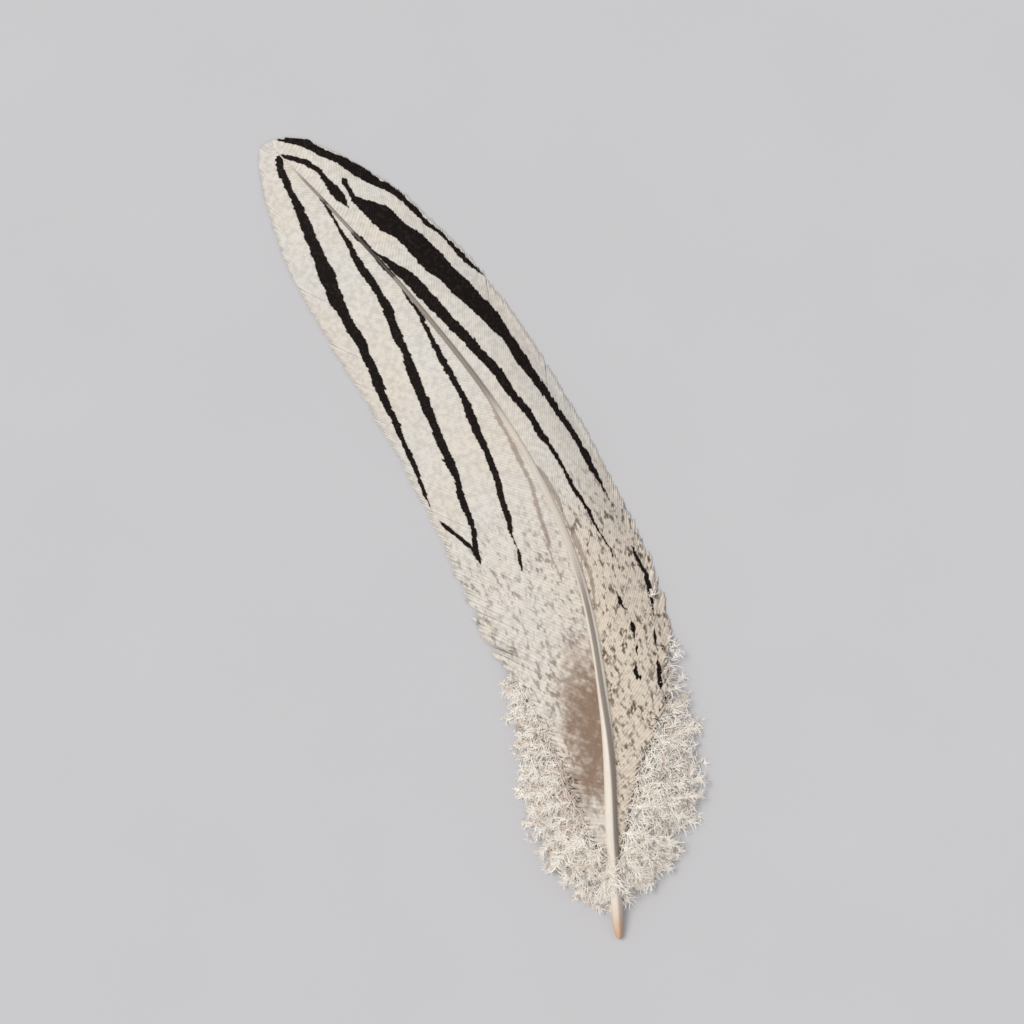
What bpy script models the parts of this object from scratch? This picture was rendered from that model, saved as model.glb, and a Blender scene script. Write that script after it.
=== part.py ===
"""A pheasant's body feather, lying on a flat surface with its outer side up.

Metres, +Z up. The quill end points to -Y and the tip to +Y, and the feather rests on the
plane Z = 0. A place along the feather is a fraction of its length, 0 at the quill end and 1 at
the tip. A place across a web is a fraction of its width, 0 at the shaft and 1 at the margin.
The barbs of a web leave the shaft at their roots and sweep forward, so a web's edges at its
two ends follow a barb.
"""

import bpy
import numpy as np

MM = 0.001

# Driving sizes
FEATHER_LENGTH = 105 * MM  # quill end to tip, in a straight line
ARCH_RISE = 4.2 * MM  # the middle of the shaft above the line between its ends
VANE_THICKNESS = 0.4 * MM
DOWN_THICKNESS = 1.6 * MM
SHAFT_GAP = 0.35 * MM  # clearance between the shaft and a web

# The first and last barb roots of each web, as places along the feather
DOWN_ROOTS = (0.085, 0.262)
VANE_ROOTS = (0.268, 0.985)

# Stations: place along the feather, then a size in millimetres
SHAFT_BOW = [(0, 0), (0.09, 3.3), (0.24, 9.2), (0.4, 13.2), (0.48, 13.7), (0.6, 12.6),
             (0.75, 8.9), (0.9, 3.8), (1, 0)]
SHAFT_RADIUS = [(0, 0.42), (0.03, 0.66), (0.1, 0.75), (0.3, 0.58), (0.6, 0.36), (1, 0.14)]
LEFT_WIDTH = [(0.09, 3), (0.12, 7.5), (0.2, 10.6), (0.3, 12), (0.42, 13.8), (0.52, 14.2),
              (0.64, 13.3), (0.76, 11.8), (0.85, 9.7), (0.92, 6.7), (0.96, 4.5), (0.98, 3.1),
              (1, 1.3)]
RIGHT_WIDTH = [(0.09, 3), (0.12, 9.5), (0.18, 12.2), (0.26, 11.2), (0.36, 9.3), (0.46, 8.1),
               (0.6, 8), (0.76, 8.9), (0.85, 8.6), (0.9, 7.8), (0.94, 6.5), (0.97, 5),
               (0.985, 3.9), (1, 2)]
BARB_REACH = [(0.085, 2.5), (0.15, 6), (0.25, 11), (0.35, 13.5), (0.5, 14.5), (0.7, 13),
              (0.85, 9), (0.93, 5), (0.985, 1.575)]

BARB_CURVE = 0.3  # share of a barb's forward reach that it gains by curving
FLAT_FROM = 0.875  # across the web: from here to the margin it lies flat on the surface
ACROSS_CELLS = 8  # one row of them is the flat margin
VANE_CELLS = 44
DOWN_CELLS = 12
SHAFT_POINTS = 36
SHAFT_BEVEL_STEPS = 2

# Colour, roughness and metallic value of each piece
SHAFT_FINISH = ((0.82, 0.77, 0.64), 0.35, 0.0)
VANE_FINISH = ((0.74, 0.71, 0.65), 0.7, 0.0)
DOWN_FINISH = ((0.62, 0.56, 0.50), 0.9, 0.0)


def smooth_through(place, stations):
    """Cubic curve through the stations, whose slope at each is the central difference."""
    places, sizes = np.array(stations, dtype=float).T
    slopes = np.gradient(sizes, places)
    place = np.clip(place, places[0], places[-1])
    first = np.clip(np.searchsorted(places, place, side="right") - 1, 0, len(places) - 2)
    span = places[first + 1] - places[first]
    step = (place - places[first]) / span
    start = (1 + 2 * step) * (1 - step) ** 2 * sizes[first]
    start_slope = step * (1 - step) ** 2 * span * slopes[first]
    end = step ** 2 * (3 - 2 * step) * sizes[first + 1]
    end_slope = step ** 2 * (step - 1) * span * slopes[first + 1]
    return (start + start_slope + end + end_slope) * MM


def shaft_radius(place):
    """Radius of the shaft at a place along the feather."""
    return smooth_through(place, SHAFT_RADIUS)


def shaft_height(place):
    """Height of the shaft's centre line: a parabola on top of the shaft's own radius."""
    return shaft_radius(place) + ARCH_RISE * 4 * place * (1 - place)


def along(place):
    """Y of a place along the feather, with the middle of the feather at Y = 0."""
    return (place - 0.5) * FEATHER_LENGTH


def middle_x():
    """X halfway between the feather's leftmost and rightmost points."""
    place = np.linspace(DOWN_ROOTS[0], 1, 2000)
    bow = smooth_through(place, SHAFT_BOW)
    left = bow - smooth_through(place, LEFT_WIDTH)
    right = bow + smooth_through(place, RIGHT_WIDTH)
    return (min(left.min(), 0) + right.max()) / 2


def web_points(root, across, side, widths, thickness):
    """Points on a web's underside, from each barb's root place and the place across the web.

    The barb gains its forward reach partly evenly and partly by curving, and its sideways
    distance runs from the shaft's clearance to the web's width. Its height falls as a
    parabola from the shaft to the flat margin.
    """
    reach = smooth_through(root, BARB_REACH) / FEATHER_LENGTH
    place = root + reach * ((1 - BARB_CURVE) * across + BARB_CURVE * across ** 2)
    inner = shaft_radius(place) + SHAFT_GAP
    outward = inner + (smooth_through(place, widths) - inner) * across
    x = smooth_through(place, SHAFT_BOW) + side * outward - middle_x()
    attached = np.maximum(shaft_height(place) - thickness / 2, 0)
    z = attached * (1 - np.minimum(across / FLAT_FROM, 1) ** 2)
    return np.column_stack((x, along(place), z))


def add_material(piece, finish):
    """Give the piece its own Principled material."""
    colour, roughness, metallic = finish
    material = bpy.data.materials.new(piece.name)
    material.use_nodes = True
    shader = material.node_tree.nodes["Principled BSDF"]
    shader.inputs["Base Color"].default_value = (*colour, 1)
    shader.inputs["Roughness"].default_value = roughness
    shader.inputs["Metallic"].default_value = metallic
    material.diffuse_color = (*colour, 1)
    piece.data.materials.append(material)


def add_shaft(collection):
    """The quill and shaft: a round bar along the bowed and arched centre line."""
    place = np.linspace(0, 1, SHAFT_POINTS)
    x = smooth_through(place, SHAFT_BOW) - middle_x()
    centres = np.column_stack((x, along(place), shaft_height(place), np.ones_like(place)))
    curve = bpy.data.curves.new("shaft", "CURVE")
    curve.dimensions = "3D"
    curve.bevel_depth = MM
    curve.bevel_resolution = SHAFT_BEVEL_STEPS
    curve.use_fill_caps = True
    spline = curve.splines.new("POLY")
    spline.points.add(SHAFT_POINTS - 1)
    spline.points.foreach_set("co", centres.ravel())
    spline.points.foreach_set("radius", shaft_radius(place) / MM)
    shaft = bpy.data.objects.new("shaft", curve)
    collection.objects.link(shaft)
    add_material(shaft, SHAFT_FINISH)


def add_web(collection, name, side, widths, roots, cells, thickness, finish):
    """One web: a grid laid along its barbs, given its thickness upwards."""
    bpy.ops.mesh.primitive_grid_add(x_subdivisions=ACROSS_CELLS, y_subdivisions=cells, size=1)
    web = bpy.context.object
    web.name = web.data.name = name
    for user in web.users_collection:
        user.objects.unlink(web)
    collection.objects.link(web)

    flat = np.empty(3 * len(web.data.vertices))
    web.data.vertices.foreach_get("co", flat)
    grid = flat.reshape(-1, 3) + 0.5
    across = grid[:, 0] if side > 0 else 1 - grid[:, 0]
    root = roots[0] + (roots[1] - roots[0]) * grid[:, 1]
    points = web_points(root, across, side, widths, thickness)
    web.data.vertices.foreach_set("co", points.ravel())
    web.data.update()
    web.data.shade_smooth()

    solid = web.modifiers.new("thickness", "SOLIDIFY")
    solid.thickness = thickness
    solid.offset = 1
    add_material(web, finish)


def main():
    """Clear the scene and build the feather's five pieces."""
    for thing in list(bpy.data.objects):
        bpy.data.objects.remove(thing)
    collection = bpy.data.collections.new("pheasant_feather")
    bpy.context.scene.collection.children.link(collection)

    add_shaft(collection)
    for name, side, widths in (("left", -1, LEFT_WIDTH), ("right", 1, RIGHT_WIDTH)):
        add_web(collection, name + "_vane", side, widths, VANE_ROOTS, VANE_CELLS,
                VANE_THICKNESS, VANE_FINISH)
        add_web(collection, name + "_down", side, widths, DOWN_ROOTS, DOWN_CELLS,
                DOWN_THICKNESS, DOWN_FINISH)


main()
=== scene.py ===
"""The looks of a pheasant's body feather: horn shaft, two webs of combed barbs and loose down.

Every piece stands for one CAD node and is placed from the frame. Metres, +Z up, quill end at
-Y, tip at +Y. A place along the feather runs from 0 at the quill end to 1 at the tip, and a
place across a web from 0 at the shaft to 1 at the margin.
"""

import math
from functools import partial

import bpy
import numpy as np
from bpy.props import FloatProperty, FloatVectorProperty, IntProperty, PointerProperty
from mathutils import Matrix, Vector


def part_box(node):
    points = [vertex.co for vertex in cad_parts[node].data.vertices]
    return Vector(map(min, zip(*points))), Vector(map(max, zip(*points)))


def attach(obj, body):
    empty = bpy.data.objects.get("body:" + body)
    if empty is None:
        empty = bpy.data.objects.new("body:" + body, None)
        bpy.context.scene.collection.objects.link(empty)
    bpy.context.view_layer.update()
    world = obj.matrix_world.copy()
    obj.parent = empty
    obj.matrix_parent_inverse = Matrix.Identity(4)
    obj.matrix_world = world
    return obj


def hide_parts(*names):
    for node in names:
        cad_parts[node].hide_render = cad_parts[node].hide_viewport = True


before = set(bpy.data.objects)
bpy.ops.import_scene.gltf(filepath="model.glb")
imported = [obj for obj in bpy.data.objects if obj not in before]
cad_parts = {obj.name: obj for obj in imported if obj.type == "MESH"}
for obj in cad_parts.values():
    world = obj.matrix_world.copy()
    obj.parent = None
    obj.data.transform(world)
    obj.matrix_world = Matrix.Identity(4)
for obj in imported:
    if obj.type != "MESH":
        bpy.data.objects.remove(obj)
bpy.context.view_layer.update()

bl_info = {
    "name": "Pheasant feather",
    "version": (1, 0, 0),
    "blender": (4, 5, 0),
    "location": "3D View > Sidebar > Feather",
    "description": "Builds a black-lined white body feather barb by barb",
    "category": "Add Mesh",
}

MM = 0.001

# ---------- shape of the feather

FEATHER_LENGTH = 2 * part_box("left_vane")[1].y  # its middle is at Y = 0
ARCH_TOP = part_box("shaft")[1].z

# Stations: place along the feather, then a size in millimetres, as in the solids
SHAFT_BOW = [(0, 0), (0.09, 3.3), (0.24, 9.2), (0.4, 13.2), (0.48, 13.7), (0.6, 12.6),
             (0.75, 8.9), (0.9, 3.8), (1, 0)]
SHAFT_RADIUS = [(0, 0.42), (0.03, 0.66), (0.1, 0.75), (0.3, 0.58), (0.6, 0.36), (1, 0.14)]
LEFT_WIDTH = [(0.09, 3), (0.12, 7.5), (0.2, 10.6), (0.3, 12), (0.42, 13.8), (0.52, 14.2),
              (0.64, 13.3), (0.76, 11.8), (0.85, 9.7), (0.92, 6.7), (0.96, 4.5), (0.98, 3.1),
              (1, 1.3)]
RIGHT_WIDTH = [(0.09, 3), (0.12, 9.5), (0.18, 12.2), (0.26, 11.2), (0.36, 9.3), (0.46, 8.1),
               (0.6, 8), (0.76, 8.9), (0.85, 8.6), (0.9, 7.8), (0.94, 6.5), (0.97, 5),
               (0.985, 3.9), (1, 2)]
BARB_REACH = [(0.085, 2.5), (0.15, 6), (0.25, 11), (0.35, 13.5), (0.5, 14.5), (0.7, 13),
              (0.85, 9), (0.93, 5), (0.985, 1.575)]
BARB_CURVE = 0.3  # share of a barb's forward reach that it gains by curving
FLAT_FROM = 0.93  # across a web, where it meets the surface it lies on

# First and last roots of a web's barbs, of barbs below it that are combed only near the
# shaft, and of downy ones in the lower layer and in the upper
VANE_ROOTS = (0.268, 0.985)
BASE_ROOTS = (0.088, 0.266)
DOWN_ROOTS = ((0.085, 0.275), (0.085, 0.297))
LAST_ROOT = 0.998  # of more barbs above a web's last root, beside the shaft's end
PAST_SHAFT = 0.004  # how far they reach past it, as a share of the length

# Root, and the share of the web's width to which barbs are hooked into a flat web
COMBED = {"left": [(0.085, 0.25), (0.13, 0.4), (0.165, 0.5), (0.21, 0.72), (0.268, 1)],
          "right": [(0.085, 0.16), (0.13, 0.22), (0.165, 0.38), (0.195, 0.72), (0.225, 0.96),
                    (0.268, 1)]}
# Root, and a downy barb's length in millimetres
DOWN_LENGTH = {"left": [(0.085, 5.5), (0.1, 7.5), (0.12, 9), (0.15, 10.5), (0.2, 11.5),
                        (0.31, 12)],
               "right": [(0.085, 4.5), (0.1, 7), (0.12, 9.5), (0.15, 12), (0.2, 12.5),
                         (0.31, 11.5)]}
# Root, and the angle that a downy barb leaves at, from straight outwards towards the tip
DOWN_HEADING = [(0.085, -1.2), (0.1, -0.95), (0.12, -0.5), (0.15, -0.1), (0.18, 0.25),
                (0.23, 0.5), (0.31, 0.75)]

SIDES = {"left": (-1, LEFT_WIDTH), "right": (1, RIGHT_WIDTH)}


def smooth_through(place, stations, column=1):
    """Cubic curve through the stations, whose slope at each is the central difference."""
    table = np.array(stations, dtype=float)
    places, sizes = table[:, 0], table[:, column]
    slopes = np.gradient(sizes, places)
    place = np.clip(place, places[0], places[-1])
    first = np.clip(np.searchsorted(places, place, side="right") - 1, 0, len(places) - 2)
    span = places[first + 1] - places[first]
    step = (place - places[first]) / span
    start = (1 + 2 * step) * (1 - step) ** 2 * sizes[first]
    start_slope = step * (1 - step) ** 2 * span * slopes[first]
    end = step ** 2 * (3 - 2 * step) * sizes[first + 1]
    end_slope = step ** 2 * (step - 1) * span * slopes[first + 1]
    return start + start_slope + end + end_slope


def ease(value, start, end):
    """0 up to start, 1 from end on, and 3s^2 - 2s^3 between them; start may be the larger."""
    share = np.clip((value - start) / (end - start), 0, 1)
    return share * share * (3 - 2 * share)


def bow_middle():
    """X of the feather's middle from side to side, where the solids' origin is."""
    place = np.linspace(DOWN_ROOTS[0][0], 1, 2000)
    bow = smooth_through(place, SHAFT_BOW)
    left = (bow - smooth_through(place, LEFT_WIDTH)).min()
    right = (bow + smooth_through(place, RIGHT_WIDTH)).max()
    return (min(left, 0) + right) / 2


BOW_MIDDLE = bow_middle()


def shaft_x(place):
    """X of the shaft's centre line."""
    return (smooth_through(place, SHAFT_BOW) - BOW_MIDDLE) * MM


def shaft_radius(place):
    """Radius of the shaft."""
    return smooth_through(place, SHAFT_RADIUS) * MM


def shaft_z(place):
    """Height of the shaft's centre line: its own radius, and a parabola with its top mid-way."""
    rise = ARCH_TOP - 2 * shaft_radius(0.5)
    return shaft_radius(place) + rise * 4 * place * (1 - place)


def along(place):
    """Y of a place along the feather."""
    return (place - 0.5) * FEATHER_LENGTH


def closing(root):
    """1 up to a web's last root, then falling evenly to 0 at the shaft's end."""
    return np.clip((1 - root) / (1 - VANE_ROOTS[1]), 0, 1)


def place_on_barb(root, across):
    """Place along the feather of a point on a barb: the root, and a reach that grows partly
    with the distance across and partly with its square, so that the barb curves."""
    reach = smooth_through(root, BARB_REACH) * MM / FEATHER_LENGTH
    reach = np.minimum(reach, 1 + PAST_SHAFT * (1 - closing(root)) - root)
    return root + reach * ((1 - BARB_CURVE) * across + BARB_CURVE * across ** 2)


# ---------- lines on the webs

# Each line: place along the feather, place across the web (beyond the shaft if less than 0) and
# thickness in millimetres (below 0 where the line has run out). The first five lines of a side
# are black and the sixth is a faint brown one.
LEFT_LINES = [
    [(0.5, 0.97, -0.8), (0.557, 0.93, 0.3), (0.596, 0.9, 0.5), (0.62, 0.888, 0.6),
     (0.65, 0.852, 0.9), (0.68, 0.821, 0.95), (0.71, 0.772, 1.1), (0.74, 0.715, 1.1),
     (0.77, 0.7, 1.15), (0.8, 0.682, 1.6), (0.83, 0.61, 1.85), (0.86, 0.556, 1.45),
     (0.89, 0.506, 1.35), (0.92, 0.433, 1.1), (0.95, 0.376, 0.85), (0.965, 0.31, 0.8),
     (0.975, 0.217, 0.8), (0.983, 0.07, 0.7), (0.988, -0.15, -0.8)],
    [(0.44, 0.78, -0.8), (0.475, 0.75, 0.6), (0.5, 0.7, 0.5), (0.53, 0.673, 0.65),
     (0.56, 0.63, 0.8), (0.59, 0.598, 1.15), (0.62, 0.569, 1.1), (0.65, 0.534, 1.1),
     (0.68, 0.475, 1.3), (0.71, 0.42, 0.95), (0.74, 0.36, 1.2), (0.77, 0.292, 1.15),
     (0.8, 0.241, 0.9), (0.83, 0.21, 0.8), (0.86, 0.15, 0.6), (0.877, 0.12, 0.35),
     (0.89, 0.09, 0.2), (0.905, 0.04, 0.35), (0.918, 0, 0.4), (0.93, -0.05, -0.8)],
    [(0.4, 0.47, -0.8), (0.447, 0.44, 0.35), (0.486, 0.41, 0.6), (0.53, 0.335, 0.7),
     (0.56, 0.292, 0.8), (0.59, 0.264, 0.9), (0.62, 0.242, 1), (0.65, 0.193, 0.75),
     (0.68, 0.167, 0.85), (0.71, 0.124, 0.75), (0.745, 0.06, 0.5), (0.776, 0.03, 0.4),
     (0.83, -0.1, -0.8)],
    [(0.44, 0.72, -0.8), (0.478, 0.775, 0.5), (0.5, 0.84, 0.55), (0.517, 0.9, 0.4),
     (0.54, 0.96, -0.8)],
    [(0.785, 0, -0.8), (0.8, 0, 0.4), (0.835, 0, 0.5), (0.865, 0, 0.4), (0.88, 0, -0.8)],
    [(0.38, 0.19, -0.8), (0.42, 0.172, 0.35), (0.46, 0.157, 0.45), (0.5, 0.113, 0.5),
     (0.55, 0.075, 0.5), (0.6, 0.055, 0.45), (0.64, 0.01, 0.35), (0.7, -0.1, 0.2)],
]
RIGHT_LINES = [
    [(0.74, 1, -0.8), (0.77, 0.958, 0.4), (0.8, 0.93, 0.5), (0.83, 0.928, 0.55),
     (0.86, 0.9, 0.7), (0.89, 0.935, 0.9), (0.92, 0.86, 1.8), (0.95, 0.86, 1.6),
     (0.965, 0.82, 1.5), (0.98, 0.82, 1.2), (0.99, 0.82, 1), (1, 0.82, 0.8)],
    [(0.887, 0.2, -0.8), (0.9035, 0.227, 0.75), (0.93, 0.3, 0.75), (0.955, 0.336, 0.75),
     (0.9675, 0.285, 0.8), (0.976, 0.174, 0.8), (0.983, 0.02, 0.7), (0.99, -0.2, -0.8)],
    [(0.219, 0.68, -0.8), (0.228, 0.67, 0.4), (0.237, 0.66, -0.1), (0.25, 0.65, 0.45),
     (0.275, 0.665, 0.4), (0.287, 0.69, -0.1), (0.302, 0.71, 0.45), (0.316, 0.75, -0.05),
     (0.338, 0.81, 0.3), (0.363, 0.865, 0.5), (0.398, 0.86, 0.4), (0.415, 0.84, -0.1),
     (0.46, 0.81, 0.05), (0.5, 0.806, 0.45), (0.53, 0.803, 0.65), (0.56, 0.784, 0.75),
     (0.59, 0.769, 0.9), (0.62, 0.733, 1), (0.65, 0.713, 1.25), (0.68, 0.714, 1.3),
     (0.71, 0.705, 1.95), (0.74, 0.646, 2.35), (0.77, 0.6, 2.65), (0.8, 0.569, 3),
     (0.83, 0.567, 2.5), (0.86, 0.506, 3), (0.89, 0.456, 2.2), (0.902, 0.4, 1.1),
     (0.914, 0.426, 0.6), (0.929, 0.536, 0.5), (0.937, 0.57, -0.8)],
    [(0.255, 0.45, -0.8), (0.266, 0.45, 0.35), (0.279, 0.43, 0.35), (0.288, 0.45, -0.1),
     (0.298, 0.465, 0.4), (0.308, 0.49, -0.05), (0.321, 0.51, 0.4), (0.335, 0.5, 0),
     (0.358, 0.43, 0.35), (0.375, 0.46, -0.2), (0.4, 0.52, -0.1), (0.416, 0.55, 0.4),
     (0.43, 0.51, 0.2), (0.47, 0.446, 0.45), (0.5, 0.394, 0.5), (0.53, 0.39, 0.5),
     (0.56, 0.37, 0.7), (0.59, 0.363, 0.8), (0.62, 0.317, 0.9), (0.65, 0.317, 1.2),
     (0.68, 0.274, 1.3), (0.71, 0.225, 1.15), (0.74, 0.193, 1.35), (0.77, 0.174, 1.65),
     (0.8, 0.148, 1.75), (0.816, 0.1, 0.9), (0.835, 0.03, 0.3), (0.86, 0, -0.8)],
    [(0.785, 0, -0.8), (0.8, 0, 0.4), (0.835, 0.01, 0.5), (0.865, 0.01, 0.45), (0.88, 0, -0.8)],
    [(0.33, 0.11, -0.8), (0.36, 0.12, 0.1), (0.42, 0.13, 0.3), (0.46, 0.117, 0.4),
     (0.5, 0.1, 0.4), (0.55, 0.05, 0.35), (0.6, 0.012, 0.3), (0.65, -0.1, -0.2)],
]
LINES = {"left": LEFT_LINES, "right": RIGHT_LINES}


# ---------- settings

def to_linear(colour):
    """sRGB hex text as the linear colour, with alpha, that a shader reads."""
    parts = [part / 255 for part in bytes.fromhex(colour)]
    linear = [c / 12.92 if c <= 0.04045 else ((c + 0.055) / 1.055) ** 2.4 for c in parts]
    return (*linear, 1.0)


def length_property(name, description, default):
    """A length whose default is given in millimetres."""
    return FloatProperty(name=name, description=description, default=default * MM, min=0,
                         unit="LENGTH", precision=5)


def colour_property(name, description, default):
    """A colour whose default is given as sRGB hex text."""
    return FloatVectorProperty(name=name, description=description, default=to_linear(default),
                               size=4, min=0, max=1, subtype="COLOR")


class FeatherSizes(bpy.types.PropertyGroup):
    """Sizes of the barbs, barbules and down."""

    barb_pitch: length_property("Barb pitch", "Distance along the shaft between barbs", 0.45)
    barb_height: length_property("Barb height", "Height of a barb's ridge above its edges", 0.04)
    barb_overlap: FloatProperty(
        name="Barb overlap", description="Share of a barb's width that lies over the next",
        default=0.35, min=0, max=1, subtype="FACTOR")
    line_steps: length_property("Line steps", "Steps in a line's edge between barbs", 0.07)
    down_barbs: IntProperty(
        name="Down barbs", description="Number of downy barbs in each layer of a side",
        default=42, min=2, max=70)
    barbule_length: length_property("Barbule length", "Length of a downy barb's hairs", 2.3)
    barbule_width: length_property("Barbule width", "Width of those hairs at their roots", 0.1)


class FeatherColours(bpy.types.PropertyGroup):
    """Colours of the horn and its pigment."""

    white: colour_property("White", "Combed barbs without pigment", "E4E0D9")
    cream: colour_property("Cream", "Warmer patches of the same barbs", "EBDDCB")
    black: colour_property("Black", "The lines", "110A08")
    brown: colour_property("Brown", "Faint lines beside the shaft", "8E7A6C")
    # Umber: the shaft's upper part, and its brown line, which low down is painted shade on the
    # right flank
    umber: colour_property("Umber", "The shaft's upper part and lower line", "756A60")
    patch: colour_property("Patch", "Brown barbs above the down", "8D7462")
    fleck: colour_property("Fleck", "Small strokes low on the webs", "73675A")
    dark_fleck: colour_property("Dark fleck", "Dots in the middle of those strokes", "4A3C34")
    # Painted shade where a barb slips under the next; the same colour also darkens some barbs
    # and the mottling
    shade: colour_property("Shade", "Where a barb slips under the next", "89847F")
    fluff: colour_property("Fluff", "Ends of the downy barbs", "FFFAF1")
    dun: colour_property("Dun", "Downy barbs beside the shaft", "D2B8A5")
    dull_fluff: colour_property("Dull fluff", "The dullest downy barbs", "8A7464")
    ivory: colour_property("Ivory", "The shaft", "F0E7DA")
    # Painted shade in the grooves between the shaft's faint ridges
    ridge: colour_property("Ridge", "Between the shaft's faint ridges", "95897C")
    amber: colour_property("Amber", "The quill's end", "DDAE86")


class StudioSettings(bpy.types.PropertyGroup):
    """Camera, floor and light."""

    frame_width: FloatProperty(
        name="Frame width", description="Width of the picture at the feather",
        default=0.124, min=0.02, unit="LENGTH")
    lean: FloatProperty(
        name="Lean", description="How far the feather leans left of upright",
        default=math.radians(23.76), subtype="ANGLE")
    floor: colour_property("Floor", "The board under the feather", "CBCBCE")
    sky: colour_property("Sky", "The even light from all sides", "CCCCCE")
    sunlight: colour_property("Sunlight", "The broad key light", "FFFBF4")


# ---------- strands

MAP_END, MAP_SIDE = 0.02, 0.06  # what a strand leaves clear of its strip in the map


def unit(vectors):
    """Each vector divided by its length."""
    return vectors / np.maximum(np.linalg.norm(vectors, axis=-1, keepdims=True), 1e-12)


def crosswise(forward):
    """A level unit vector square to forward, and one square to both that points upwards."""
    upright = np.broadcast_to([0.0, 0.0, 1.0], forward.shape)
    level = unit(np.cross(upright, forward))
    return level, np.cross(forward, level)


def strand_points(centres, side, up, half_width, half_height, section):
    """Points of many strands, by strand, ring and section point. A section point's first
    coordinate counts half widths along side, and its second half heights along up."""
    shape = np.array(section, dtype=float)
    across = (half_width[:, :, None] * shape[:, 0])[..., None] * side[:, :, None, :]
    above = (half_height[:, :, None] * shape[:, 1])[..., None] * up[:, :, None, :]
    return centres[:, :, None, :] + across + above


def strand_mesh(name, groups):
    """One mesh from groups of strands, with faces between their rings and a cap at each end.
    Sections turn anticlockwise as seen from the tip, so faces point outwards.

    In the map OFBake, a group has a band of the square and each of its strands a strip, with
    the length along U and the section along V.
    """
    mesh = bpy.data.meshes.new(name)
    loops, sizes, maps = [], [], []
    first, low = 0, 0.0
    total = sum(group.size for group in groups)
    for points in groups:
        strands, rings, corners = points.shape[:3]
        index = first + np.arange(points.size // 3).reshape(strands, rings, corners)
        following = np.roll(index, -1, axis=2)
        walls = np.stack((index[:, :-1], following[:, :-1], following[:, 1:], index[:, 1:]), -1)
        caps = np.stack((index[:, 0, ::-1], index[:, -1]), 1)
        loops += [walls.ravel(), caps.ravel()]
        sizes += [np.full(walls.size // 4, 4), np.full(caps.size // corners, corners)]
        band = points.size / total
        maps.append(strip_map(strands, rings, corners) * (1, band) + (0, low))
        first += index.size
        low += band
    points = np.concatenate([group.reshape(-1, 3) for group in groups])
    sizes = np.concatenate(sizes)
    mesh.vertices.add(len(points))
    mesh.vertices.foreach_set("co", points.ravel().astype(np.float32))
    mesh.loops.add(int(sizes.sum()))
    mesh.loops.foreach_set("vertex_index", np.concatenate(loops).astype(np.int32))
    mesh.polygons.add(len(sizes))
    starts = np.cumsum(sizes) - sizes
    mesh.polygons.foreach_set("loop_start", starts.astype(np.int32))
    mesh.update(calc_edges=True)
    mesh.shade_smooth()
    layer = mesh.uv_layers.new(name="OFBake")
    layer.uv.foreach_set("vector", np.concatenate(maps).ravel().astype(np.float32))
    return mesh


def strip_map(strands, rings, corners):
    """U and V of every face corner of a group of strands, laid out in columns and rows."""
    columns = max(1, round(math.sqrt(strands / 8)))
    rows = math.ceil(strands / columns)
    strand = np.arange(strands)[:, None]
    around = np.arange(corners)
    walls = np.broadcast_arrays(np.arange(rings - 1)[:, None, None] + [0, 0, 1, 1],
                                around[:, None] + [0, 1, 1, 0])
    caps = np.repeat([0, rings - 1], corners), np.concatenate((around[::-1], around))
    maps = []
    for ring, corner in (walls, caps):
        u = MAP_END + (1 - 2 * MAP_END) * ring.ravel() / (rings - 1)
        v = MAP_SIDE + (1 - 2 * MAP_SIDE) * corner.ravel() / corners
        u, v = (strand % columns + u) / columns, (strand // columns + v) / rows
        maps.append(np.stack((u, v), -1).reshape(-1, 2))
    return np.concatenate(maps)


def set_values(mesh, name, groups, values):
    """Store three values on every point. Each group's are three arrays that spread to strand by
    ring by section point."""
    filled = []
    for points, parts in zip(groups, values):
        spread = [np.broadcast_to(part, points.shape[:3]) for part in parts]
        filled.append(np.stack(spread, -1).reshape(-1, 3))
    layer = mesh.attributes.new(name, "FLOAT_VECTOR", "POINT")
    layer.data.foreach_set("vector", np.concatenate(filled).ravel().astype(np.float32))


def link_new(name, data):
    """A new object with this data, in the scene."""
    made = bpy.data.objects.new(name, data)
    bpy.context.scene.collection.objects.link(made)
    return made


def add_piece(name, mesh, material, node):
    """Link a finished piece, which rides on the feather's one body and stands for a node."""
    mesh.materials.append(material)
    piece = link_new(name, mesh)
    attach(piece, "root")
    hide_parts(node)


# ---------- materials

# Kinds of node, some with settings
MATHS = "ShaderNodeMath"
VECTORS = "ShaderNodeVectorMath"
NOISE = "ShaderNodeTexNoise"  # around one half; its scale is in features a millimetre
STORED = "ShaderNodeAttribute"
APART = "ShaderNodeSeparateXYZ"
PLUS = (MATHS, {"operation": "ADD"})
TIMES = (MATHS, {"operation": "MULTIPLY"})
TIMES_PLUS = (MATHS, {"operation": "MULTIPLY_ADD"})  # the first by the second, plus the third
EASED = ("ShaderNodeMapRange", {"interpolation_type": "SMOOTHSTEP"})
MIX = ("ShaderNodeMix", {"data_type": "RGBA"})
BARBULE_PITCH = 0.24  # millimetres; 0.03 in life, which is too fine to show from here


def add_node(tree, kind, *values, named=None, **settings):
    """Add a node with its settings, and fill its inputs with values or links: first in the
    order that it shows them, then by name. Hands back its output, or a list of several."""
    kind, preset = (kind, {}) if isinstance(kind, str) else kind
    made = tree.nodes.new(kind)
    for name, value in {**preset, **settings}.items():
        setattr(made, name, value)
    shown = [socket for socket in made.inputs if socket.enabled]
    fillings = list(zip(shown, values))
    fillings += [(made.inputs[name], value) for name, value in (named or {}).items()]
    for socket, value in fillings:
        if isinstance(value, bpy.types.NodeSocket):
            tree.links.new(value, socket)
        else:
            socket.default_value = value
    outputs = [socket for socket in made.outputs if socket.enabled]
    return outputs[0] if len(outputs) == 1 else outputs


def new_material(name):
    """A material with an empty node tree, and the function above ready to add to it."""
    material = bpy.data.materials.new(name)
    material.use_nodes = True
    material.node_tree.nodes.clear()
    return material, partial(add_node, material.node_tree)


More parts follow.
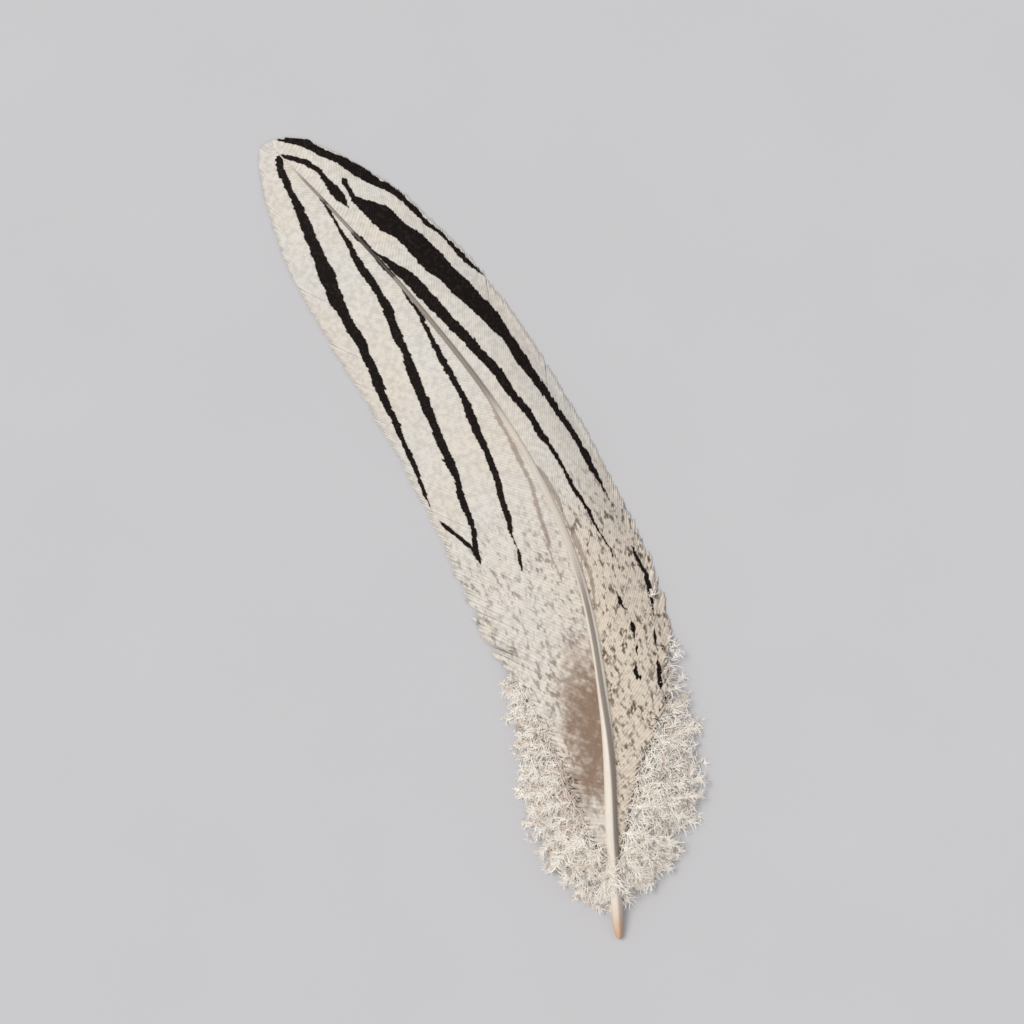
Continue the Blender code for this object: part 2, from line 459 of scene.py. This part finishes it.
def millimetres(add, stretch=(1, 1, 1)):
    """Object coordinates in millimetres, each then multiplied by its stretch."""
    place = add("ShaderNodeTexCoord")[3]
    return add("ShaderNodeMapping", place, named={"Scale": [s / MM for s in stretch]})


def blotches(add, place, scale, detail, *ends):
    """Noise, eased between two of its values."""
    return add(EASED, add(NOISE, place, scale, detail)[0], *ends)


def finish_material(add, colour, height, depth, settings):
    """The shader and its bump: a height from 0 to 1 stands for 0 to depth metres."""
    bump = add("ShaderNodeBump", named={"Height": height, "Distance": depth})
    shader = add("ShaderNodeBsdfPrincipled",
                 named={"Base Color": colour, "Normal": bump, **settings})
    add("ShaderNodeOutputMaterial", shader)


def line_depths(add):
    """How deep inside each line a point is, in millimetres: half its thickness less the
    distance from it. The black lines come first and the faint one last."""
    depths = []
    for part in "ab":
        away = add(STORED, attribute_name="line_distance_" + part)[1]
        away = add(VECTORS, away, operation="ABSOLUTE")
        half = add(STORED, attribute_name="line_half_" + part)[1]
        depths += add(APART, add(VECTORS, half, away, operation="SUBTRACT"))
    return depths


def vane_material(colours):
    """Feather keratin as grown: barbs hooked side by side into a web.

    To the eye: matt white that turns cream in patches, combed by the barbs and their finer
    barbules, with black lines whose edges step from barb to barb, and grey flecks low down.
    """
    material, add = new_material("combed_feather_keratin")
    place = millimetres(add)
    # Millimetres along the barb, -1 to 1 across it, and a number of its own from 0 to 1
    run, aside, own = add(APART, add(STORED, attribute_name="barb")[1])
    flecked, brown, cream = add(APART, add(STORED, attribute_name="tone")[1])

    # Up to 0.18 mm of noise frays the black lines, and each has a thin brown rim
    deepest, *black_depths, faint_depth = line_depths(add)
    faint = add(EASED, faint_depth, -0.12, 0.12, 0.0, 0.65)
    for depth in black_depths:
        deepest = add(MATHS, deepest, depth, operation="MAXIMUM")
    ragged = add(TIMES_PLUS, add(NOISE, place, 1.7, 3.0)[0], 0.36, -0.18)
    deepest = add(PLUS, deepest, ragged)
    rim = add(EASED, deepest, -0.13, 0.02, 0.0, 0.4)
    black = add(EASED, deepest, -0.035, 0.045)

    warm = add(PLUS, blotches(add, place, 0.13, 2.0, 0.35, 0.7, 0.0, 0.4), cream)
    ground = add(MIX, warm, colours.white, colours.cream)
    # Barbs differ in whiteness and are mottled, and painted shade darkens each towards its
    # edges, where one slips under the next
    value = add(TIMES_PLUS, own, 0.05, 0.95)
    mottled = blotches(add, place, 1.6, 3.0, 0.32, 0.64, 0.76, 1.0)
    value = add(TIMES, value, mottled)
    from_ridge = add(MATHS, aside, operation="ABSOLUTE")
    # Painted shade: darker towards the blade's edges, where it slips under the next
    value = add(TIMES, value, add(EASED, from_ridge, 0.45, 0.95, 1.0, 0.78))
    ground = add(MIX, value, colours.shade, ground)

    # Flecks: strokes about 0.3 mm wide with darker dots, partly out of step between barbs
    slip = add("ShaderNodeCombineXYZ", 0.0, 0.0, add(TIMES, own, 0.5))
    slipped = add(VECTORS, millimetres(add, (1.2, 0.5, 0)), slip, operation="ADD")
    specks = add(NOISE, slipped, 1.75, 2.0)[0]
    crowd = blotches(add, place, 0.28, 2.0, 0.35, 0.6, 0.6, 1.0)
    crowd = add(TIMES, crowd, flecked)
    for ends, colour in (((0.51, 0.6, 0.0, 0.7), colours.fleck),
                         ((0.59, 0.67, 0.0, 0.75), colours.dark_fleck)):
        strokes = add(TIMES, add(EASED, specks, *ends), crowd)
        ground = add(MIX, strokes, ground, colour)

    # The brown patch, broken up by noise and from barb to barb
    patchy = add(TIMES_PLUS, add(NOISE, place, 1.1, 4.0)[0], 1.2, brown)
    patchy = add(TIMES_PLUS, own, -0.2, patchy)
    patchy = add(EASED, patchy, 0.7, 1.55, 0.0, 0.95)
    for share, colour in ((patchy, colours.patch), (faint, colours.brown), (rim, colours.brown)):
        ground = add(MIX, share, ground, colour)
    thin = blotches(add, place, 2.5, 2.0, 0.45, 0.75, 0.0, 0.06)
    pigment = add(MIX, thin, colours.black, colours.brown)
    colour = add(MIX, black, ground, pigment)

    # Barbules leave the barb's ridge at about 45 degrees
    slant = add(TIMES_PLUS, from_ridge, -0.25, run)
    slant = add(TIMES, slant, 2 * math.pi / BARBULE_PITCH)
    comb = add(MATHS, slant, operation="SINE")
    comb = add(TIMES_PLUS, comb, 0.5, 0.5)
    finish_material(add, colour, comb, 0.012 * MM,
                    {"Roughness": 0.6, "IOR": 1.54, "Specular IOR Level": 0.1})
    return material


def down_material(colours):
    """Downy keratin as grown: barbs with long soft barbules that nothing hooks together.

    To the eye: matt curly fluff, cream white with browner curls and greyer specks in it, and
    brown where the web beside it is.
    """
    material, add = new_material("downy_feather_keratin")
    own, brown = add(APART, add(STORED, attribute_name="tone")[1])[:2]
    curls = blotches(add, millimetres(add), 0.9, 2.0, 0.5, 0.64, 0.0, 0.45)
    brown = add(PLUS, brown, curls)
    colour = add(MIX, brown, colours.fluff, colours.dun)
    specks = blotches(add, millimetres(add, (1, 0.6, 0)), 1.2, 2.0, 0.56, 0.66, 0.0, 0.42)
    colour = add(MIX, specks, colour, colours.fleck)
    value = add(TIMES_PLUS, own, 0.05, 0.95)
    colour = add(MIX, value, colours.dull_fluff, colour)
    finish_material(add, colour, own, 0.001 * MM,
                    {"Roughness": 0.85, "IOR": 1.54, "Specular IOR Level": 0.3,
                     "Sheen Weight": 1.0, "Sheen Roughness": 0.5})
    return material


def shaft_material(colours):
    """Horn keratin as grown: a smooth tube below and a pith-filled bar above.

    To the eye: satin ivory with faint lengthwise ridges and painted shade in the grooves between
    them, amber at the clear quill end, a brown line along it in the lower half that low down is
    painted shade on the right flank, away from the key light, then grey-brown, with black
    stretches near the tip.
    """
    material, add = new_material("shaft_horn_keratin")
    # Place along the feather, and from -1 on the right to 1 on the left
    along_it, sideways = add(APART, add(STORED, attribute_name="shaft")[1])[:2]
    place = millimetres(add)
    streaks = add(NOISE, millimetres(add, (3, 0.25, 3)), 1.6, 3.0)[0]
    end = add(EASED, along_it, 0.05, 0.0)
    cloudy = blotches(add, place, 0.5, 2.0, 0.2, 0.6, 0.6, 1.0)
    amber = add(TIMES, end, cloudy)
    colour = add(MIX, amber, colours.ivory, colours.amber)

    # The brown line runs down the middle and low down drifts onto the right flank, away from the
    # key light, as painted shade
    middle = add(EASED, along_it, 0.15, 0.3, -0.75, 0.05)
    away = add(MATHS, sideways, middle, operation="SUBTRACT")
    away = add(MATHS, away, operation="ABSOLUTE")
    line = add(EASED, away, 0.72, 0.3, 0.0, 0.88)
    for ends in ((0.03, 0.12, 0.5), (0.45, 0.36, 0.1)):
        line = add(TIMES, line, add(EASED, along_it, *ends))
    colour = add(MIX, line, colour, colours.umber)

    # The upper half is a little duller, then much, then less at the very end
    dull = add(EASED, along_it, 0.34, 0.42, 0.0, 0.2)
    dull = add(PLUS, dull, add(EASED, along_it, 0.59, 0.65, 0.0, 0.65))
    dull = add(TIMES, dull, add(EASED, along_it, 0.97, 0.94, 0.3, 1.0))
    colour = add(MIX, dull, colour, colours.umber)
    ragged = add(TIMES_PLUS, add(NOISE, place, 1.5, 2.0)[0], 0.02, along_it)
    # Two black stretches, a long one and a short one above it
    for start, stop in ((0.808, 0.882), (0.914, 0.93)):
        black = add(EASED, ragged, start, start + 0.008, 0.0, 0.95)
        black = add(TIMES, black, add(EASED, ragged, stop, stop - 0.008))
        colour = add(MIX, black, colour, colours.black)
    # Painted shade: darker where the streaks make the bump low, in the grooves between the
    # ridges
    value = add(EASED, streaks, 0.3, 0.7, 0.88, 1.0)
    colour = add(MIX, value, colours.ridge, colour)
    finish_material(add, colour, streaks, 0.03 * MM,
                    {"Roughness": 0.38, "IOR": 1.54, "Subsurface Weight": 0.15,
                     "Subsurface Radius": (0.6, 0.4, 0.25), "Subsurface Scale": 0.4 * MM})
    return material


def floor_material(colour):
    """Paper board, matt: a pale even grey with the faintest mottling."""
    material, add = new_material("matt_paper_board")
    mottle = add(NOISE, millimetres(add), 0.05, 2.0)[0]
    dark = tuple(c * 0.96 for c in colour[:3]) + (1,)
    shade = add(MIX, mottle, dark, tuple(colour))
    finish_material(add, shade, mottle, 0.01 * MM, {"Roughness": 0.8})
    return material


# ---------- webs of barbs

BARB_RINGS = 22
# A flat blade with a low ridge along its middle
BARB_SECTION = [(1, -0.15), (0.55, 0.1), (0.2, 0.8), (-0.2, 0.8), (-0.55, 0.1), (-1, -0.15),
                (0, -0.5)]
SHARP_FROM = math.radians(60)  # edges between faces that meet more sharply aren't smoothed
MARGIN_HEIGHT = 0.13 * MM  # of the barbs where a web lies flat
LOWEST_BLADE = 0.01 * MM
BLADE_SLOPE = 0.05  # sideways
GROUP_SIZES = (9, 34)  # fewest barbs that lean together, and one more than the most
GROUP_LEAN = 0.07  # most that a group closes up at the margin, as a share
WANDER = 0.035 * MM  # how far a loose barb strays from one ring to the next
RIPPLE_HEIGHT = 0.22 * MM
RIPPLES = ((1, 47), (2, 19))  # two waves: radians at the quill end, and over the length
WEB_SEEDS = {"vane": {"right": 11, "left": 12}, "down": {"right": 13, "left": 14}}

OWN_STEP = 0.35  # share of the line step that a barb takes alone
STEP_TOGETHER = 6  # barbs that also step together
SWELL = 0.8  # share of the step that half the thickness takes
ALONG_LINE = 0.85  # how much of a line's slant shows within a barb


def web_surface(root, across, side, widths):
    """Points of a web, whose height falls as a parabola from the shaft to the surface below.
    Barbs start inside the shaft, and above the last root past its middle, so that the webs
    meet beyond its end."""
    place = place_on_barb(root, across)
    inner = 0.5 * shaft_radius(place) * (2 * closing(root) - 1)
    outward = inner + (smooth_through(place, widths) * MM * closing(root) - inner) * across
    x = shaft_x(place) + side * outward
    attached = shaft_z(place) - 0.1 * shaft_radius(place)
    falling = 1 - np.minimum(across / FLAT_FROM, 1) ** 2
    z = MARGIN_HEIGHT + (attached - MARGIN_HEIGHT) * falling
    return np.stack((x, along(place), z), -1), place


def line_values(place, outward, widths, lines, slide, offset, step, rng):
    """For each line: the sideways distance from it, and half its thickness, in millimetres.

    The distance is how far the barb's middle lies outward from the shaft's, less the line's
    place across times the width. A point offset from the barb's middle, by a share of the way
    to the next barb, takes on most of that share of the distance's change, less what sliding
    along the barb gives. Each barb also shifts and swells every line by about one step, and by
    more low down. A thickness below 0 is made four times as low, which keeps it hidden.
    """
    distances, halves = [], []
    width = smooth_through(place, widths)
    loose = 1 + 0.5 * ease(place, 0.5, 0.38)
    together = np.ones(STEP_TOGETHER) / STEP_TOGETHER ** 0.5
    for line in lines:
        own = rng.normal(0, 1, (2, len(place)))
        shared = np.array([np.convolve(row, together, "same")
                           for row in rng.normal(0, 1, (2, len(place)))])
        shift, swell = step * (OWN_STEP * own + shared)[..., None] * loose
        distance = outward - smooth_through(place, line) * width
        change = np.gradient(distance, axis=0) - slide * np.gradient(distance, axis=1)
        change = ALONG_LINE * change[..., None] * offset
        distances.append((distance + shift)[..., None] + change)
        half = smooth_through(place, line, 2) / 2
        half = np.minimum(half, 4 * half)
        halves.append((half + SWELL * swell * ease(half, 0, 0.2))[..., None])
    return distances, halves


def brown_patch(place, across, side):
    """How brown a web is: most beside the shaft just above the down, and on the left."""
    lengthwise = ease(place, 0.11, 0.19) * ease(place, 0.4, 0.25)
    if side < 0:
        return lengthwise * ease(across, 0.75, 0.2)
    return 0.3 * lengthwise * ease(across, 0.4, 0.05)


def group_lean(count, pitch, rng):
    """How far each barb's end leans towards the middle of its group: the distance to it times
    the group's own share."""
    bounds = np.cumsum(rng.integers(*GROUP_SIZES, count))
    group = np.searchsorted(bounds, np.arange(count), side="right")
    starts = np.concatenate(([0], bounds))
    middle = (starts[group] + starts[group + 1] - 1) / 2
    distance = (middle - np.arange(count)) * pitch
    return distance * rng.uniform(0, GROUP_LEAN, len(starts))[group]


def build_web(name, part, roots, sizes, material):
    """One web: a blade for each barb, from the shaft to the margin.

    The blades follow the web's surface, which ripples a little. Those of a group lean together
    near their ends, which leaves small notches in the margin; the lowest also wander. Each is
    as wide as the space to its neighbours plus the overlap, and tipped to lie over the next,
    less so near the tip. Low down, blades taper to ragged ends where barbs aren't combed.
    """
    side, widths = SIDES[name]
    rng = np.random.default_rng(WEB_SEEDS[part][name])
    count = round((roots[1] - roots[0]) * FEATHER_LENGTH / sizes.barb_pitch)
    root, across = np.meshgrid(np.linspace(*roots, count), np.linspace(0, 1, BARB_RINGS),
                               indexing="ij")
    loose = ease(root, 0.38, 0.25)
    combed = np.interp(root[:, :1], *np.array(COMBED[name]).T)
    frayed = 0.01 + 0.015 * loose[:, :1] + 0.1 * (1 - combed)
    length = combed * (1 + rng.normal(0, frayed))
    across = across * length
    centres, place = web_surface(root, across, side, widths)

    lean = group_lean(count, sizes.barb_pitch, rng)[:, None]
    outer = ease(across, 0.55, 1.0)
    wander = np.cumsum(rng.normal(0, 1, (count, BARB_RINGS)), axis=1) * WANDER
    centres[..., 1] += lean * outer + wander * loose * outer
    fast, slow = (np.sin(place * rate + turn * side) for turn, rate in RIPPLES)
    between = across * np.sin(math.pi * np.minimum(across, 1))
    centres[..., 2] += RIPPLE_HEIGHT * (1 + fast * slow) * between
    centres[..., 2] += np.abs(wander) * loose * outer

    forward = unit(np.gradient(centres, axis=1))
    step = np.gradient(centres, axis=0)
    up = unit(np.cross(forward, step))
    up *= np.sign(up[..., 2:3])
    over = unit(np.cross(up, forward))
    gap = (step * over).sum(-1)
    spacing = np.minimum(np.abs(gap), 1.5 * sizes.barb_pitch)
    tapering = np.maximum(0.05, 0.6 * length * (1 - combed))
    taper = np.clip((length - across) / tapering, 0.15, 1)
    half_width = spacing / 2 * (1 + sizes.barb_overlap) * taper
    standing = 0.1 + 0.9 * closing(root) ** 2
    half_height = sizes.barb_height * np.sqrt(taper) * standing
    tipped = unit(over + side * BLADE_SLOPE * standing[..., None] * up)
    points = strand_points(centres, tipped, up, half_width, half_height, BARB_SECTION)
    points[..., 2] = np.maximum(points[..., 2], LOWEST_BLADE)
    groups = [points]
    title = f"{name}_{part}_barbs"
    mesh = strand_mesh(title, groups)
    mesh.set_sharp_from_angle(angle=SHARP_FROM)

    pieces = np.diff(centres, axis=1, prepend=centres[:, :1])
    run = np.cumsum(np.linalg.norm(pieces, axis=-1), axis=1)
    shape = np.array(BARB_SECTION)[:, 0]
    set_values(mesh, "barb", groups, [(run[:, :, None] / MM, shape, rng.random((count, 1, 1)))])
    slide = (step * forward).sum(-1) / np.maximum(np.gradient(run, axis=1), 0.01 * MM)
    offset = (half_width / gap)[..., None] * shape
    outward = side * (centres[..., 0] - shaft_x(place)) / MM
    distances, halves = line_values(place, outward, widths, LINES[name], slide, offset,
                                    sizes.line_steps / MM, rng)
    for half, lines in (("a", slice(0, 3)), ("b", slice(3, 6))):
        set_values(mesh, "line_distance_" + half, groups, [distances[lines]])
        set_values(mesh, "line_half_" + half, groups, [halves[lines]])
    flecks = ease(place, 0.56, 0.42) * (0.55 if side < 0 else 1)
    brown = brown_patch(place, across, side)
    cream = ease(place, 0.55, 0.3) * (0.8 if side > 0 else 0.25)
    set_values(mesh, "tone", groups, [np.stack((flecks, brown, cream))[..., None]])
    add_piece(title, mesh, material, f"{name}_{part}")


# ---------- down

# Downy barbs, in millimetres and radians
DOWN_RINGS = 40
DOWN_WAVES = ((0.8, 3.2), (0.65, 1.7))  # how far the heading turns, and over what length
BOB, BOB_WAVE = 0.3, 2.9  # height and length of the waves up and down
STEM_HALF_WIDTH = 0.07
END_HEIGHT = 0.25
LOWEST_STEM, LOWEST_HAIR, LOWEST_POINT = 0.06, 0.04, 0.005
# In the lower layer and in the upper
DOWN_TURN = (0.15, -0.15)  # of the heading from root to end
FALL_FROM = (0.6, 1)  # the root's height, as a share of the shaft's
PUFF = (0.4, 1.4)  # most that the middle rises
END_SPREAD = (0, 0.8)  # most that an end lies higher
HAIR_HALF_WIDTHS = (0.65, 0.5)  # share of the width that is set
HAIRS_FROM = ((0.1, 0.8), (0.5, 1))  # least and most of the combed part without hairs
DOWN_SEEDS = {"left": (20, 22), "right": (21, 23)}
# Hairs: the least and the most
HAIR_LENGTHS = (0.6, 1.25)  # share of the length that is set
HAIR_LEAN = np.radians((35, 70))  # away from the barb
HAIR_LIFT = (-0.75, 0.75)
HAIR_TURN = (0.5, 3)
HAIRS_A_SIDE = 72
HAIR_STEPS = np.linspace(0, 1, 6)
HAIR_TAPER = np.array((1, 1, 0.9, 0.75, 0.55, 0.25))
# Three-sided, with a flat side up
FIBRE_SECTION = [(math.cos(angle), math.sin(angle)) for angle in np.radians((30, 150, 270))]


def downy_paths(name, layer, sizes, rng):
    """Centre lines of downy barbs: headings that wave, added up step by step.

    The heading is an angle from straight outwards, forward high up and backward at the bottom,
    and two sines with random phases curl it, more so towards the end. The barb runs down from
    the shaft under the combed part of the web and then puffs up, most in the upper layer.
    """
    side = SIDES[name][0]
    count = sizes.down_barbs
    root = np.linspace(*DOWN_ROOTS[layer], count)[:, None]
    root += rng.uniform(-0.002, 0.002, (count, 1))
    run = np.linspace(0, 1, DOWN_RINGS)[None, :]
    length = np.interp(root, *np.array(DOWN_LENGTH[name]).T) * MM
    length *= rng.uniform(0.86, 1.1, (count, 1))
    heading = np.interp(root, *np.array(DOWN_HEADING).T)
    heading = heading + rng.normal(0, 0.1, (count, 1)) + DOWN_TURN[layer] * run
    waves = length / MM * run
    curl = 0.2 + 0.6 * run
    for size, wavelength in DOWN_WAVES:
        phase = rng.uniform(0, 2 * math.pi, (count, 1))
        pitch = wavelength * rng.uniform(0.8, 1.25, (count, 1))
        heading = heading + size * curl * np.sin(2 * math.pi * waves / pitch + phase)
    step = length / (DOWN_RINGS - 1)
    x, y = np.cumsum((np.cos(heading), np.sin(heading)), axis=2) * step
    x, y = x - x[:, :1], y - y[:, :1]
    combed = np.interp(root, *np.array(COMBED[name]).T)
    lifted = ease(run, 0.4 * combed, 1.1 * combed)
    fall = FALL_FROM[layer] * shaft_z(root) * (1 - run) ** 1.2
    puff = PUFF[layer] * np.sin(math.pi * run ** 0.8) * rng.uniform(0.4, 1, (count, 1))
    phase = rng.uniform(0, 2 * math.pi, (count, 1))
    bob = BOB * run * np.sin(2 * math.pi * waves / BOB_WAVE + phase)
    rest = (END_HEIGHT + END_SPREAD[layer] * rng.uniform(0, 1, (count, 1))) * run
    z = np.maximum(fall + (puff + bob + rest) * lifted * MM, LOWEST_STEM * MM)
    start = shaft_x(root) + side * 0.5 * shaft_radius(root)
    return np.stack((start + side * x, along(root) + y, z), -1), root, run


def barbules(name, layer, path, root, sizes, rng):
    """Centre lines of the curled hairs on downy barbs, and the barb that carries each.

    A hair leaves its barb on either side, leaning forwards and up or down, and runs on along
    an arc round an axis of its own. Hairs are shorter near the barb's end, and few where the
    barb is combed, fewest in the upper layer.
    """
    count = len(path)
    spots = np.tile(np.linspace(0.03, 0.995, HAIRS_A_SIDE), 2)
    spots = spots + rng.uniform(-0.006, 0.006, (count, 2 * HAIRS_A_SIDE))
    where = np.clip(spots, 0, 1) * (DOWN_RINGS - 1)
    ring = np.minimum(where.astype(int), DOWN_RINGS - 2)
    share = (where - ring)[..., None]
    strand = np.arange(count)[:, None]
    base = path[strand, ring] * (1 - share) + path[strand, ring + 1] * share
    forward = unit(path[strand, ring + 1] - path[strand, ring])
    level, up = crosswise(forward)
    sign = np.repeat([-1.0, 1.0], HAIRS_A_SIDE)[None, :, None]
    lift = rng.uniform(*HAIR_LIFT, spots.shape)[..., None]
    lean = rng.uniform(*HAIR_LEAN, spots.shape)[..., None]
    outward = sign * np.cos(lift) * level + np.sin(lift) * up
    away = np.cos(lean) * forward + np.sin(lean) * outward
    axis = unit(rng.normal(0, 1, base.shape) + (0, 0, 0.8))
    kept_up = (away * axis).sum(-1, keepdims=True) * axis
    turned = away - kept_up
    aside = np.cross(axis, away)
    turn = rng.uniform(*HAIR_TURN, spots.shape) * rng.choice([-1, 1], spots.shape)
    turn = turn[..., None, None]
    step = HAIR_STEPS[:, None]
    reach = (kept_up[:, :, None] * step + turned[:, :, None] * np.sin(turn * step) / turn
             + aside[:, :, None] * (1 - np.cos(turn * step)) / turn)
    length = sizes.barbule_length * rng.uniform(*HAIR_LENGTHS, spots.shape)
    length = length * (1 - 0.65 * spots ** 3)
    centres = base[:, :, None, :] + length[..., None, None] * reach
    centres[..., 2] = np.maximum(centres[..., 2], LOWEST_HAIR * MM)
    combed = np.interp(root, *np.array(COMBED[name]).T)
    downy = spots > combed * rng.uniform(*HAIRS_FROM[layer], spots.shape)
    carrier = np.broadcast_to(strand, spots.shape)
    return centres[downy], carrier[downy]


def patch_at(points, name):
    """How brown the web is at these points."""
    side, widths = SIDES[name]
    place = points[..., 1] / FEATHER_LENGTH + 0.5
    across = side * (points[..., 0] - shaft_x(place)) / (smooth_through(place, widths) * MM)
    return brown_patch(place, across, side)


def build_down(name, layer, sizes, material):
    """One layer of a side's down: curling barbs, each with hairs along both of its sides. They
    are shaded flat, which keeps the flat sides on top bright."""
    rng = np.random.default_rng(DOWN_SEEDS[name][layer])
    path, root, run = downy_paths(name, layer, sizes, rng)
    count = len(path)
    level, up = crosswise(unit(np.gradient(path, axis=1)))
    half_width = STEM_HALF_WIDTH * MM * (1 - 0.5 * run) + np.zeros((count, 1))
    stems = strand_points(path, level, up, half_width, 0.5 * half_width, FIBRE_SECTION)
    hair, carrier = barbules(name, layer, path, root, sizes, rng)
    level, up = crosswise(unit(np.gradient(hair, axis=1)))
    half_width = sizes.barbule_width * HAIR_HALF_WIDTHS[layer] * HAIR_TAPER
    half_width = np.broadcast_to(half_width, hair.shape[:2])
    hairs = strand_points(hair, level, up, half_width, 0.35 * half_width, FIBRE_SECTION)
    groups = [stems, hairs]
    for points in groups:
        points[..., 2] = np.maximum(points[..., 2], LOWEST_POINT * MM)
    title = f"{name}_down_{('lower', 'upper')[layer]}"
    mesh = strand_mesh(title, groups)
    mesh.shade_flat()
    own = rng.random((count, 1, 1))
    set_values(mesh, "tone", groups,
               [(own, patch_at(stems, name), 0), (own[carrier], patch_at(hairs, name), 0)])
    add_piece(title, mesh, material, name + "_down")


# ---------- shaft

CAP_RINGS, CAP_END = 12, 0.006  # rings of the rounded quill end, and the place where it stops
SHAFT_RINGS, SHAFT_SPAN = 188, (0.009, 0.99)  # rings above it, and their places
SHAFT_CORNERS = 20
GROOVE = 0.22  # depth of the groove on the underside, in radii


def build_shaft(material):
    """The shaft: a round section carried along the bowed, arched centre line.

    The radius follows the stations, closes as a quarter circle at the quill's end and thins to
    the tip. Above the quill the section's underside is pushed up into a groove.
    """
    cap_places = CAP_END * (1 - np.cos(np.linspace(0, math.pi / 2, CAP_RINGS)))
    place = np.concatenate((cap_places, np.linspace(*SHAFT_SPAN, SHAFT_RINGS)))[None, :]
    centres = np.stack((shaft_x(place), along(place), shaft_z(place)), -1)
    level, up = crosswise(unit(np.gradient(centres, axis=1)))
    turn = np.linspace(0, 2 * math.pi, SHAFT_CORNERS, endpoint=False)
    section = np.column_stack((np.cos(turn), np.sin(turn)))
    cap = np.sqrt(np.clip(1 - (1 - np.minimum(place / CAP_END, 1)) ** 2, 0.09, 1))
    radius = shaft_radius(place) * cap * (1 - 0.6 * ease(place, 0.93, 1.0))
    points = strand_points(centres, level, up, radius, radius, section)
    groove = GROOVE * ease(place, 0.1, 0.3)[..., None] * np.clip(-np.sin(turn), 0, 1) ** 6
    points += (groove * radius[..., None])[..., None] * up[:, :, None, :]
    groups = [points]
    mesh = strand_mesh("shaft_horn", groups)
    set_values(mesh, "shaft", groups, [(place[..., None], section[:, 0], 0)])
    add_piece("shaft_horn", mesh, material, "shaft")


# ---------- stage

FLOOR_RADIUS = 8.0
FLOOR_CORNERS = 96
TO_THE_KEY = Vector((-0.42, 0.5, 0.95))
KEY_STRENGTH = 1.55
KEY_WIDTH = math.radians(30)  # as seen from the feather
LENS, SENSOR_WIDTH = 150, 36  # millimetres


def build_stage(scene, studio):
    """A plain floor, even soft light with a broad key from the picture's upper left, and a
    camera that looks straight down, turned so that the feather leans left."""
    mesh = bpy.data.meshes.new("floor")
    turn = np.linspace(0, 2 * math.pi, FLOOR_CORNERS, endpoint=False)
    rim = np.column_stack((np.cos(turn), np.sin(turn), 0 * turn)) * FLOOR_RADIUS
    mesh.from_pydata(rim.tolist(), [], [list(range(FLOOR_CORNERS))])
    mesh.materials.append(floor_material(studio.floor))
    floor = link_new("floor", mesh)

    world = bpy.data.worlds.new("studio")
    world.use_nodes = True
    background = world.node_tree.nodes["Background"]
    background.inputs["Color"].default_value = studio.sky
    scene.world = world

    lamp = bpy.data.lights.new("key", "SUN")
    lamp.angle = KEY_WIDTH
    lamp.energy = KEY_STRENGTH
    lamp.color = studio.sunlight[:3]
    key = link_new("key", lamp)
    key.rotation_mode = "QUATERNION"
    key.rotation_quaternion = TO_THE_KEY.to_track_quat("Z", "Y")

    camera = bpy.data.cameras.new("camera")
    camera.lens = LENS
    camera.sensor_width = SENSOR_WIDTH
    scene.camera = eye = link_new("camera", camera)
    eye.location = (0, 0, studio.frame_width * LENS / SENSOR_WIDTH)
    eye.rotation_euler = (0, 0, -studio.lean)
    scene.view_settings.view_transform = "Standard"


# ---------- operators

class OBJECT_OT_feather_shaft(bpy.types.Operator):
    """Build the horn shaft"""

    bl_idname = "object.feather_shaft"
    bl_label = "Build shaft"

    def execute(self, context):
        build_shaft(shaft_material(context.scene.feather_colours))
        return {"FINISHED"}


class OBJECT_OT_feather_vanes(bpy.types.Operator):
    """Build the two webs of barbs"""

    bl_idname = "object.feather_vanes"
    bl_label = "Build vanes"

    def execute(self, context):
        material = vane_material(context.scene.feather_colours)
        for name in SIDES:
            for part, roots in (("vane", (VANE_ROOTS[0], LAST_ROOT)), ("down", BASE_ROOTS)):
                build_web(name, part, roots, context.scene.feather_sizes, material)
        return {"FINISHED"}


class OBJECT_OT_feather_down(bpy.types.Operator):
    """Build the loose down on both sides"""

    bl_idname = "object.feather_down"
    bl_label = "Build down"

    def execute(self, context):
        material = down_material(context.scene.feather_colours)
        for name in SIDES:
            for layer in (0, 1):
                build_down(name, layer, context.scene.feather_sizes, material)
        return {"FINISHED"}


class OBJECT_OT_feather_stage(bpy.types.Operator):
    """Build the floor, the light and the camera"""

    bl_idname = "object.feather_stage"
    bl_label = "Build stage"

    def execute(self, context):
        build_stage(context.scene, context.scene.feather_studio)
        return {"FINISHED"}


class VIEW3D_PT_feather(bpy.types.Panel):
    """Lists what the feather is built from"""

    bl_label = "Feather"
    bl_idname = "VIEW3D_PT_feather"
    bl_space_type = "VIEW_3D"
    bl_region_type = "UI"
    bl_category = "Feather"

    def draw(self, context):
        for operator in OPERATORS:
            self.layout.operator(operator.bl_idname)


OPERATORS = (OBJECT_OT_feather_shaft, OBJECT_OT_feather_vanes, OBJECT_OT_feather_down,
             OBJECT_OT_feather_stage)
SETTINGS = {"feather_sizes": FeatherSizes, "feather_colours": FeatherColours,
            "feather_studio": StudioSettings}
CLASSES = (*SETTINGS.values(), *OPERATORS, VIEW3D_PT_feather)


def register():
    """Make the settings, the operators and the panel known to Blender."""
    for kind in CLASSES:
        bpy.utils.register_class(kind)
    for name, kind in SETTINGS.items():
        setattr(bpy.types.Scene, name, PointerProperty(type=kind))


def unregister():
    """Take them away again."""
    for name in SETTINGS:
        delattr(bpy.types.Scene, name)
    for kind in reversed(CLASSES):
        bpy.utils.unregister_class(kind)


def main():
    """Register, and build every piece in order."""
    register()
    bpy.ops.object.feather_shaft()
    bpy.ops.object.feather_vanes()
    bpy.ops.object.feather_down()
    bpy.ops.object.feather_stage()


if __name__ == "__main__":
    main()
